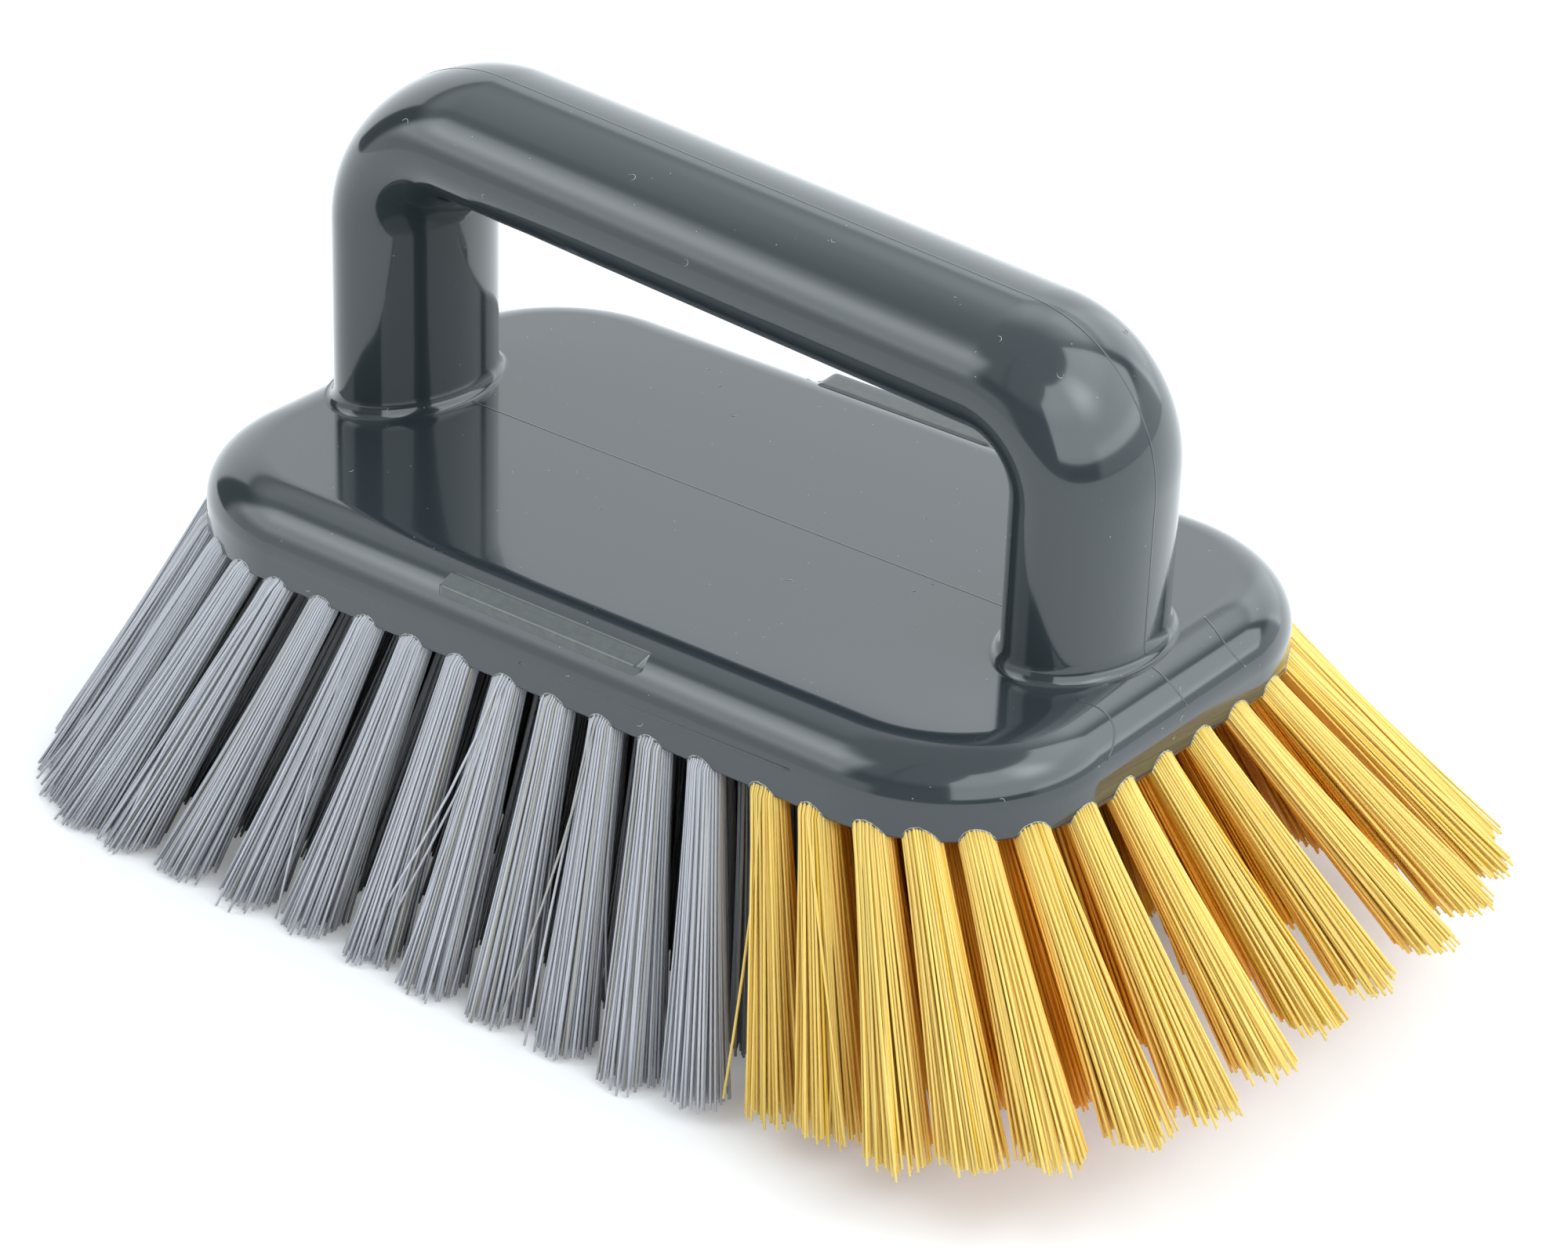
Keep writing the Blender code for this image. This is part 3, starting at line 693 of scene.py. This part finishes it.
def make_hairs(name, piece, count, stations=13, sides=5):
    """Fibres lying on a piece: curls about a random place of its skin, weighted by the area of its faces, in
    the plane of the face there. A curl is an arc whose radius shrinks along it."""
    faces = piece.data.polygons
    area, centre, normal = (np.empty(len(faces) * size) for size in (1, 3, 3))
    faces.foreach_get("area", area)
    faces.foreach_get("center", centre)
    faces.foreach_get("normal", normal)
    centre = centre.reshape(-1, 3) - ORIGIN
    normal = normal.reshape(-1, 3)
    from_middle = np.hypot(centre[:, 0], centre[:, 1])
    open_skin = (normal[:, 2] > LOWEST_FACING) & (centre[:, 2] > 0) & (from_middle > CLEAR_MIDDLE)
    weight = area * open_skin
    chosen = rng.choice(len(faces), count, replace=False, p=weight / weight.sum())
    aside = np.array([0.36, 0.48, 0.8])
    first = unit(np.cross(normal[chosen], aside))
    second = np.cross(normal[chosen], first)
    s = np.linspace(0, 1, stations)
    turn = rng.uniform(0, HAIR_START_TURN, (count, 1)) + rng.uniform(*HAIR_ARC, (count, 1)) * s
    radius = rng.uniform(*HAIR_CURL_RADIUS, (count, 1))
    radius = radius * (1 - rng.uniform(0, HAIR_CURL_SHRINK, (count, 1)) * s)
    across = first[:, None] * (radius * np.cos(turn))[..., None]
    across = across + second[:, None] * (radius * np.sin(turn))[..., None]
    lines = centre[chosen][:, None] + across + normal[chosen][:, None] * HAIR_RADIUS / 2
    return make_tubes(name, tube_rings(lines, HAIR_RADIUS, sides))


def bead(centre, facing, sides=8):
    """Rings of a low oval bead along a line of points: half its width to either side, its height along the
    facing."""
    across = np.cross(facing, unit(np.gradient(centre, axis=0)))
    angle = np.linspace(0, FULL_TURN, sides, endpoint=False)
    wide = across[:, None] * (np.cos(angle) * BEAD_HALF_WIDTH)[:, None]
    high = facing[:, None] * (np.sin(angle) * BEAD_HEIGHT)[:, None]
    return centre[:, None] + wide + high


def make_beads(steps=40, shoulder_steps=25):
    """Beads of the mould's parting: over the D's outer side, along the deck's middle between the legs, along
    part of the front flank, and three over the shoulder of the yellow end, each at its place + a sine wave +
    its run to the side by the cube of the way down."""
    centre, outward, turn = grip_line()
    depth, _ = grip_depths(outward, turn)
    upright = turn > 0.5 * QUARTER
    spine = (centre + outward * depth[:, None])[upright]
    beads = {"grip_bead": (spine, outward[upright])}
    x = np.linspace(GREY_LEG_X + LEG_HALF_DEPTH, YELLOW_LEG_X - LEG_HALF_DEPTH, steps)
    deck = np.column_stack([x, 0 * x, 0 * x + DECK_HEIGHT])
    beads["deck_bead"] = (deck, np.tile([0.0, 0.0, 1.0], (len(x), 1)))
    x = np.linspace(FLANK_BEAD_START_X, FLANK_BEAD_END_X, steps)
    flank = np.column_stack([x, 0 * x - HALF_WIDTH, FLANK_BEAD_HEIGHT + FLANK_BEAD_RISE * x])
    beads["flank_bead"] = (flank, np.tile([0.0, -1.0, 0.0], (len(x), 1)))
    inset, height, slope = shoulder(np.linspace(*SHOULDER_BEAD_SHARES, shoulder_steps) * QUARTER)
    facing = np.column_stack([np.cos(slope), 0 * slope, np.sin(slope)])
    way = np.linspace(0, 1, shoulder_steps)
    for name, (place, wave, wave_turn, run) in SHOULDER_BEADS.items():
        y = (place + wave * np.sin(wave_turn * way) + run * way**3) * MM
        line = np.column_stack([HALF_LENGTH - inset, y, height])
        beads[f"{name}_shoulder_bead"] = (line, facing)
    return [skin(name, bead(*place)) for name, place in beads.items()]


def linear(code):
    """A colour written as sRGB hex, turned to linear values."""
    channels = [int(code[k : k + 2], 16) / 255 for k in (1, 3, 5)]
    values = [c / 12.92 if c <= 0.04045 else ((c + 0.055) / 1.055) ** 2.4 for c in channels]
    return (*values, 1.0)


def add_node(tree, kind, settings=(), inputs=()):
    """Adds a node; an input given as a socket is linked, and any other value is set."""
    node = tree.nodes.new(kind)
    for name, value in dict(settings).items():
        setattr(node, name, value)
    for name, value in dict(inputs).items():
        if isinstance(value, bpy.types.NodeSocket):
            tree.links.new(value, node.inputs[name])
        else:
            node.inputs[name].default_value = value
    return node


def new_material(name):
    """A new material with its node tree and its Principled shader."""
    material = bpy.data.materials.new(name)
    material.use_nodes = True
    tree = material.node_tree
    return material, tree, tree.nodes["Principled BSDF"]


def sparse_dots(tree, place, cell, size, share):
    """Dots of one size in real measure: 1 within the size of the nearest of scattered points and 0 beyond,
    with a soft edge, kept in a share of the cells."""
    cells = add_node(tree, "ShaderNodeTexVoronoi", {}, {"Vector": place, "Scale": 1 / cell})
    near = add_node(
        tree,
        "ShaderNodeMapRange",
        {"interpolation_type": "SMOOTHSTEP"},
        {"Value": cells.outputs["Distance"], "From Min": 0.6 * size / cell, "From Max": 1.2 * size / cell},
    )
    chance = cells.outputs["Color"]
    kept = add_node(tree, "ShaderNodeMath", {"operation": "LESS_THAN"}, {0: chance, 1: share}).outputs[0]
    inside = add_node(tree, "ShaderNodeMath", {"operation": "SUBTRACT"}, {0: 1.0, 1: near.outputs[0]})
    return add_node(tree, "ShaderNodeMath", {"operation": "MULTIPLY"}, {0: inside.outputs[0], 1: kept})


def glossy_polypropylene():
    """Glossy moulded polypropylene: a dark neutral grey body under a nearly mirror-smooth skin, on which the
    static of the plastic holds pale dust, and dark specks painted as the shade of tiny pits."""
    material, tree, shader = new_material("injection_moulded_polypropylene")
    place = add_node(tree, "ShaderNodeTexCoord").outputs["Object"]
    dust = sparse_dots(tree, place, PALE_DUST_CELL, DUST_AND_PIT_SHADE_RADIUS, PALE_DUST_SHARE)
    # the second set of dots is painted pit shade
    moved = add_node(tree, "ShaderNodeMapping", {}, {"Vector": place, "Location": PIT_SHADE_SHIFT})
    pit_shade = sparse_dots(tree, moved.outputs[0], PIT_SHADE_CELL, DUST_AND_PIT_SHADE_RADIUS, PIT_SHADE_SHARE)
    body = add_node(
        tree,
        "ShaderNodeMix",
        {"data_type": "RGBA"},
        {
            "Factor": pit_shade.outputs[0],
            FIRST_COLOUR: linear("#30373b"),
            # dark specks: painted shade of tiny pits in the skin, not dust
            SECOND_COLOUR: linear("#101315"),
        },
    )
    colour = add_node(
        tree,
        "ShaderNodeMix",
        {"data_type": "RGBA"},
        {
            "Factor": dust.outputs[0],
            FIRST_COLOUR: body.outputs[MIXED_COLOUR],
            SECOND_COLOUR: linear("#aeb2b1"),
        },
    )
    tree.links.new(colour.outputs[MIXED_COLOUR], shader.inputs["Base Color"])
    haze = add_node(tree, "ShaderNodeTexNoise", {}, {"Vector": place, "Scale": 1 / HAZE_SIZE, "Detail": 3.0})
    low, high = GLOSS_ROUGHNESS
    levels = {"Value": haze.outputs[0], "To Min": low, "To Max": high}
    rough = add_node(tree, "ShaderNodeMapRange", {}, levels)
    tree.links.new(rough.outputs[0], shader.inputs["Roughness"])
    shader.inputs["IOR"].default_value = POLYPROPYLENE_IOR
    shader.inputs["Coat Weight"].default_value = 0.8
    shader.inputs["Coat Roughness"].default_value = 0.04
    shader.inputs["Coat IOR"].default_value = POLYPROPYLENE_IOR
    return material


def satin_polypropylene(name, low, high, roughness, coat=0.0):
    """Polypropylene scuffed by handling, or torn, or as loose fibre: a satin skin with a fine mottle."""
    material, tree, shader = new_material(name)
    place = add_node(tree, "ShaderNodeTexCoord").outputs["Object"]
    mottle = add_node(
        tree, "ShaderNodeTexNoise", {}, {"Vector": place, "Scale": 1 / MOTTLE_SIZE, "Detail": 4.0}
    )
    colour = add_node(
        tree,
        "ShaderNodeMix",
        {"data_type": "RGBA"},
        {"Factor": mottle.outputs[0], FIRST_COLOUR: linear(low), SECOND_COLOUR: linear(high)},
    )
    tree.links.new(colour.outputs[MIXED_COLOUR], shader.inputs["Base Color"])
    shader.inputs["Roughness"].default_value = roughness
    shader.inputs["Coat Weight"].default_value = coat
    shader.inputs["Coat Roughness"].default_value = 0.15
    return material


def monofilament(name, pale, deep_painted_shade, odd):
    """Extruded monofilament: an even satin thread, pale where it stands free and darkened by painted shade
    inside the brush, each one a little lighter or darker than its neighbour, and a few off the batch's
    colour."""
    material, tree, shader = new_material(name)
    tone = add_node(tree, "ShaderNodeAttribute", {"attribute_name": "tone"}).outputs["Fac"]
    # depth sets how much painted shade a filament deep in the brush gets
    depth = add_node(tree, "ShaderNodeAttribute", {"attribute_name": "depth"}).outputs["Fac"]
    colour = add_node(
        tree,
        "ShaderNodeMix",
        {"data_type": "RGBA"},
        {"Factor": depth, FIRST_COLOUR: linear(pale), SECOND_COLOUR: linear(deep_painted_shade)},
    )
    off = add_node(tree, "ShaderNodeMath", {"operation": "GREATER_THAN"}, {0: tone, 1: ODD_TONE})
    colour = add_node(
        tree,
        "ShaderNodeMix",
        {"data_type": "RGBA"},
        {
            "Factor": off.outputs[0],
            FIRST_COLOUR: colour.outputs[MIXED_COLOUR],
            SECOND_COLOUR: linear(odd),
        },
    )
    light, dark = TONE_LEVELS
    level = add_node(tree, "ShaderNodeMapRange", {}, {"Value": tone, "To Min": light, "To Max": dark})
    colour = add_node(
        tree,
        "ShaderNodeHueSaturation",
        {},
        {"Value": level.outputs[0], "Color": colour.outputs[MIXED_COLOUR]},
    )
    tree.links.new(colour.outputs["Color"], shader.inputs["Base Color"])
    shader.inputs["Roughness"].default_value = FILAMENT_ROUGHNESS
    return material


def dress(piece, material, slot, *nodes):
    """Gives a piece its material, fixes it to the root, and has it stand for the CAD nodes. The slot is not
    used.
    """
    piece.data.materials.append(material)
    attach(piece, "root")
    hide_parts(*nodes)


def make_brush():
    """Every piece of the brush: the moulding and what lies on it, then the rows of tufts."""
    plastic = glossy_polypropylene()
    block = make_block()
    grip = make_grip()
    for piece in [block, grip] + make_beads():
        dress(piece, plastic, "moulding", "handle_block")
    scuffed = satin_polypropylene("scuffed_polypropylene", "#43484a", "#5e625f", roughness=0.24, coat=0.7)
    dress(make_lug("front_shoulder_bar", -1, **FRONT_LUG), scuffed, "moulding", "handle_block")
    dress(make_lug("back_shoulder_bar", 1, **BACK_LUG), scuffed, "moulding", "handle_block")
    torn = satin_polypropylene("torn_polypropylene", "#8d908a", "#d3d5ce", roughness=0.5)
    fibre = satin_polypropylene("fibre_dust", "#a4a8a8", "#d0d3d4", roughness=0.6)
    dress(make_burrs(), torn, "moulding", "handle_block")
    dress(make_hairs("block_fibres", block, HAIRS_ON_BLOCK), fibre, "moulding", "handle_block")
    dress(make_hairs("grip_fibres", grip, HAIRS_ON_GRIP), fibre, "moulding", "handle_block")
    # The second colour of each is painted shade for filaments deep in the brush, standing in for light
    # scattered among them
    grey = monofilament("grey_monofilament", "#c9cad0", "#a3a4a6", "#bebbb3")
    yellow = monofilament("yellow_monofilament", "#fddb76", "#ffb122", "#fbce46")
    for colour, name, places in row_plan():
        piece = make_row(name.replace("tuft_row", "bristles"), places)
        dress(piece, grey if colour == "grey" else yellow, f"{colour}_bristle", name)


def make_camera():
    """Camera at the photograph's place: it looks at its target from an azimuth and elevation, rolled."""
    turn, rise = CAMERA_AZIMUTH, CAMERA_ELEVATION
    forward = np.array([-math.sin(turn) * math.cos(rise), math.cos(turn) * math.cos(rise), -math.sin(rise)])
    right = np.array([math.cos(turn), math.sin(turn), 0])
    upward = np.cross(right, forward)
    level, roll = math.cos(CAMERA_ROLL), math.sin(CAMERA_ROLL)
    axes = np.column_stack([level * right + roll * upward, level * upward - roll * right, -forward])
    data = bpy.data.cameras.new("photo_camera")
    data.sensor_width = SENSOR_WIDTH
    data.lens = CAMERA_FOCUS * SENSOR_WIDTH / PICTURE_WIDTH
    data.clip_start = CLIP_START
    camera = bpy.data.objects.new("photo_camera", data)
    place = Matrix.Translation(CAMERA_TARGET - forward * CAMERA_DISTANCE)
    camera.matrix_world = place @ Matrix(axes).to_4x4()
    bpy.context.scene.collection.objects.link(camera)
    bpy.context.scene.camera = camera


def make_floor():
    """Pale floor under the bristle tips. The camera sees it lifted to white, with the brush's shadow."""
    half = FLOOR_HALF_SIZE
    points = np.array([(-half, -half, 0), (half, -half, 0), (half, half, 0), (-half, half, 0)]) - ORIGIN
    floor = make_mesh("floor", points, np.array([[0, 1, 2, 3]]), np.zeros((0, 3), int))
    material, tree, shader = new_material("painted_floor")
    shader.inputs["Base Color"].default_value = linear("#f4f4f4")
    shader.inputs["Roughness"].default_value = 0.9
    seen = add_node(tree, "ShaderNodeLightPath").outputs["Is Camera Ray"]
    lift = add_node(tree, "ShaderNodeMath", {"operation": "MULTIPLY"}, {0: seen, 1: FLOOR_LIFT})
    shader.inputs["Emission Color"].default_value = linear("#ffffff")
    tree.links.new(lift.outputs[0], shader.inputs["Emission Strength"])
    floor.data.materials.append(material)


def panel(tree, direction, azimuth, elevation, half_width, half_height, edge, radiance, slanted_half=None):
    """Radiance of one panel of the studio: full within its half width and height, which are angles in
    degrees from its middle, and fading to nothing over its edge as a smooth step. A slanted half cuts off
    two opposite corners, where the angle across times the bevel's slope plus the angle up passes it."""
    turned = add_node(
        tree,
        "ShaderNodeVectorRotate",
        {"rotation_type": "Z_AXIS"},
        {"Vector": direction, "Angle": math.radians(azimuth)},
    )
    parts = add_node(tree, "ShaderNodeSeparateXYZ", {}, {"Vector": turned.outputs[0]})
    x, y, z = parts.outputs
    across = add_node(tree, "ShaderNodeMath", {"operation": "ARCTAN2"}, {0: x, 1: y})
    height = add_node(tree, "ShaderNodeMath", {"operation": "ARCSINE"}, {0: z})
    height = add_node(
        tree, "ShaderNodeMath", {"operation": "SUBTRACT"}, {0: height.outputs[0], 1: math.radians(elevation)}
    )
    level = radiance
    limits = [(across, half_width), (height, half_height)]
    if slanted_half:
        slant = add_node(
            tree,
            "ShaderNodeMath",
            {"operation": "MULTIPLY_ADD"},
            {0: across.outputs[0], 1: BEVEL_SLOPE, 2: height.outputs[0]},
        )
        limits.append((slant, slanted_half))
    for angle, half in limits:
        off = add_node(tree, "ShaderNodeMath", {"operation": "ABSOLUTE"}, {0: angle.outputs[0]})
        fade = add_node(
            tree,
            "ShaderNodeMapRange",
            {"interpolation_type": "SMOOTHSTEP"},
            {
                "Value": off.outputs[0],
                "From Min": math.radians(half - edge / 2),
                "From Max": math.radians(half + edge / 2),
                "To Min": 1.0,
                "To Max": 0.0,
            },
        )
        share = fade.outputs[0]
        level = add_node(tree, "ShaderNodeMath", {"operation": "MULTIPLY"}, {0: level, 1: share}).outputs[0]
    return level


def make_light():
    """Studio light, held by the world: softboxes and pale screens about the brush, each a panel at its
    azimuth from +Y towards +X and its elevation. The camera itself sees white."""
    world = bpy.data.worlds.new("studio")
    bpy.context.scene.world = world
    world.use_nodes = True
    tree = world.node_tree
    direction = add_node(tree, "ShaderNodeTexCoord").outputs["Generated"]
    total = ROOM_RADIANCE
    for place in STUDIO_PANELS.values():
        light = panel(tree, direction, *place)
        total = add_node(tree, "ShaderNodeMath", {"operation": "ADD"}, {0: total, 1: light}).outputs[0]
    seen = add_node(tree, "ShaderNodeLightPath").outputs["Is Camera Ray"]
    strengths = {"Factor": seen, FIRST_VALUE: total, SECOND_VALUE: 1.0}
    level = add_node(tree, "ShaderNodeMix", {"data_type": "FLOAT"}, strengths)
    tints = {"Factor": seen, FIRST_COLOUR: linear(DAYLIGHT), SECOND_COLOUR: linear("#ffffff")}
    tint = add_node(tree, "ShaderNodeMix", {"data_type": "RGBA"}, tints)
    background = tree.nodes["Background"]
    tree.links.new(tint.outputs[MIXED_COLOUR], background.inputs["Color"])
    tree.links.new(level.outputs[0], background.inputs["Strength"])


make_brush()
make_camera()
make_floor()
make_light()
bpy.context.scene.view_settings.view_transform = "Standard"
